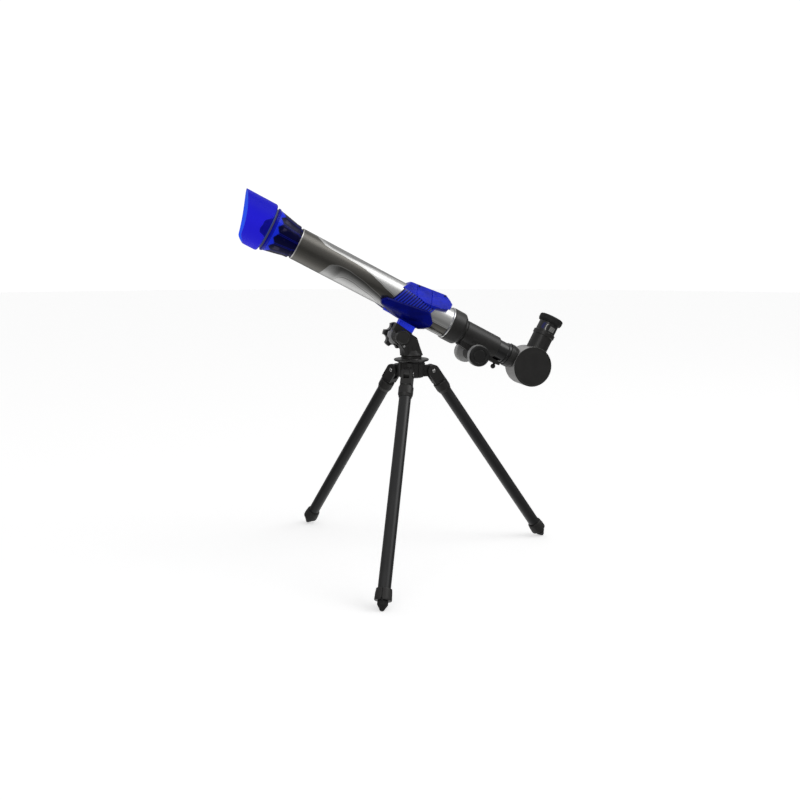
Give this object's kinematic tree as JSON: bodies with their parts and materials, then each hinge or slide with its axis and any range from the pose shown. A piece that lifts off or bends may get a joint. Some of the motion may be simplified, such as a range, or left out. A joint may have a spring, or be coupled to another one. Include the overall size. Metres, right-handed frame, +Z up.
{
  "type": "telescope on tripod",
  "caption": "Small refracting telescope with a slanted dew hood, star diagonal and eyepiece, on a folding tripod with telescopic legs and a tilting head.",
  "frame": {"origin": "on the floor, on the pan axis of the head", "axes": "+Z up along the pan axis, the objective towards -X and the eyepiece towards +X, +Y across the tube"},
  "size_m": [0.3921, 0.3242, 0.4346],
  "materials": {
    "black_plastic": "satin moulded black",
    "black_paint": "satin black paint",
    "dark_leg": "dark anodised",
    "foot_rubber": "matt black",
    "soft_rubber": "matt black",
    "bright_metal": "polished",
    "silver_plastic": "satin silver",
    "tube_paint": "satin gunmetal and silver paint",
    "hood_blue": "translucent bright blue",
    "saddle_blue": "translucent deep blue",
    "lens_glass": "coated",
    "mirror": "polished"
  },
  "bodies": {
    "stand": {"tripod_hub": "black_plastic", "hub_flange": "black_plastic", "leg_rivets": "bright_metal", "pan_bolt": "bright_metal"},
    "leg_1": {"leg_knuckle_1": "black_plastic", "leg_sleeve_1": "black_plastic", "leg_tube_1": "black_paint", "leg_clamp_1": "black_plastic"},
    "leg_2": {"leg_knuckle_2": "black_plastic", "leg_sleeve_2": "black_plastic", "leg_tube_2": "black_paint", "leg_clamp_2": "black_plastic"},
    "leg_3": {"leg_knuckle_3": "black_plastic", "leg_sleeve_3": "black_plastic", "leg_tube_3": "black_paint", "leg_clamp_3": "black_plastic"},
    "leg_inner_1": {"inner_leg_1": "dark_leg", "foot_tip_1": "foot_rubber"},
    "leg_inner_2": {"inner_leg_2": "dark_leg", "foot_tip_2": "foot_rubber"},
    "leg_inner_3": {"inner_leg_3": "dark_leg", "foot_tip_3": "foot_rubber"},
    "head": {"head_post": "black_plastic", "post_screw": "bright_metal", "tilt_bolt": "bright_metal", "tilt_cap": "black_plastic"},
    "tilt_knob": {"tilt_washer": "bright_metal", "star_knob": "black_plastic"},
    "tube": {"tilt_bracket": "black_plastic", "saddle_cradle": "saddle_blue", "saddle_band": "saddle_blue", "saddle_fairing": "saddle_blue", "pod_near": "saddle_blue", "pod_far": "saddle_blue", "saddle_screws": "black_paint", "main_tube": "tube_paint", "lens_cell": "hood_blue", "cell_baffle": "black_plastic", "objective_lens": "lens_glass", "lens_retainer": "black_plastic", "trim_ring": "bright_metal", "rear_collar": "black_plastic", "focuser_body": "black_plastic"},
    "hood": {"dew_hood": "hood_blue"},
    "draw": {"draw_tube": "black_paint", "focus_rack": "black_plastic"},
    "pinion": {"pinion_shaft": "bright_metal", "knob_skirts": "silver_plastic", "knob_faces": "black_plastic"},
    "lock": {"lock_screw": "black_plastic"},
    "diagonal": {"end_ring": "black_plastic", "diagonal_housing": "silver_plastic", "diagonal_caps": "black_plastic", "diagonal_mirror": "mirror", "eyepiece_holder": "black_plastic"},
    "eyepiece": {"eyepiece_barrel": "black_paint", "eyepiece_lenses": "lens_glass", "eyecup": "soft_rubber"}
  },
  "joints": [
    {"name": "pan", "type": "hinge", "parent": "stand", "child": "head", "pos_m": [0, 0, 0.2413], "axis": [0, 0, 1], "continuous": true},
    {"name": "tilt", "type": "hinge", "parent": "head", "child": "tube", "pos_m": [-0.0149, 0, 0.2673], "axis": [0, 1, 0], "range_deg": [-45, 23]},
    {"name": "tilt_knob_turn", "type": "hinge", "parent": "head", "child": "tilt_knob", "pos_m": [-0.0149, 0, 0.2673], "axis": [0, 1, 0], "range_deg": [0, 540]},
    {"name": "leg_fold_1", "type": "hinge", "parent": "stand", "child": "leg_1", "pos_m": [0.02651, 0.00213, 0.22536], "axis": [-0.0802, 0.9968, 0], "range_deg": [0, 34]},
    {"name": "leg_fold_2", "type": "hinge", "parent": "stand", "child": "leg_2", "pos_m": [-0.0151, 0.0219, 0.22536], "axis": [-0.8231, -0.5678, 0], "range_deg": [0, 34]},
    {"name": "leg_fold_3", "type": "hinge", "parent": "stand", "child": "leg_3", "pos_m": [-0.01141, -0.02403, 0.22536], "axis": [0.9033, -0.4289, 0], "range_deg": [0, 34]},
    {"name": "leg_extend_1", "type": "slide", "parent": "leg_1", "child": "leg_inner_1", "axis": [0.5732, 0.0461, -0.8181], "range_m": [0, 0.11]},
    {"name": "leg_extend_2", "type": "slide", "parent": "leg_2", "child": "leg_inner_2", "axis": [-0.3265, 0.4733, -0.8181], "range_m": [0, 0.11]},
    {"name": "leg_extend_3", "type": "slide", "parent": "leg_3", "child": "leg_inner_3", "axis": [-0.2466, -0.5194, -0.8181], "range_m": [0, 0.11]},
    {"name": "hood_pull", "type": "slide", "parent": "tube", "child": "hood", "axis": [-0.8878, 0, 0.4602], "range_m": [0, 0.012]},
    {"name": "focus_slide", "type": "slide", "parent": "tube", "child": "draw", "axis": [0.8878, 0, -0.4602], "range_m": [-0.004, 0.034]},
    {"name": "focus_knob_turn", "type": "hinge", "parent": "tube", "child": "pinion", "pos_m": [0.07612, 0, 0.24428], "axis": [0, 1, 0], "range_deg": [-44.2, 375]},
    {"name": "lock_turn", "type": "hinge", "parent": "tube", "child": "lock", "pos_m": [0.10792, 0, 0.23501], "axis": [0.4602, 0, 0.8878], "range_deg": [0, 540]},
    {"name": "diagonal_turn", "type": "hinge", "parent": "draw", "child": "diagonal", "pos_m": [0.12135, 0, 0.24246], "axis": [0.8878, 0, -0.4602], "continuous": true},
    {"name": "eyepiece_pull", "type": "slide", "parent": "diagonal", "child": "eyepiece", "axis": [0.4602, 0, 0.8878], "range_m": [0, 0.025]}
  ],
  "couplings": [
    {"joint": "focus_knob_turn", "follows": "focus_slide", "rad_per_m": 192.31}
  ]
}
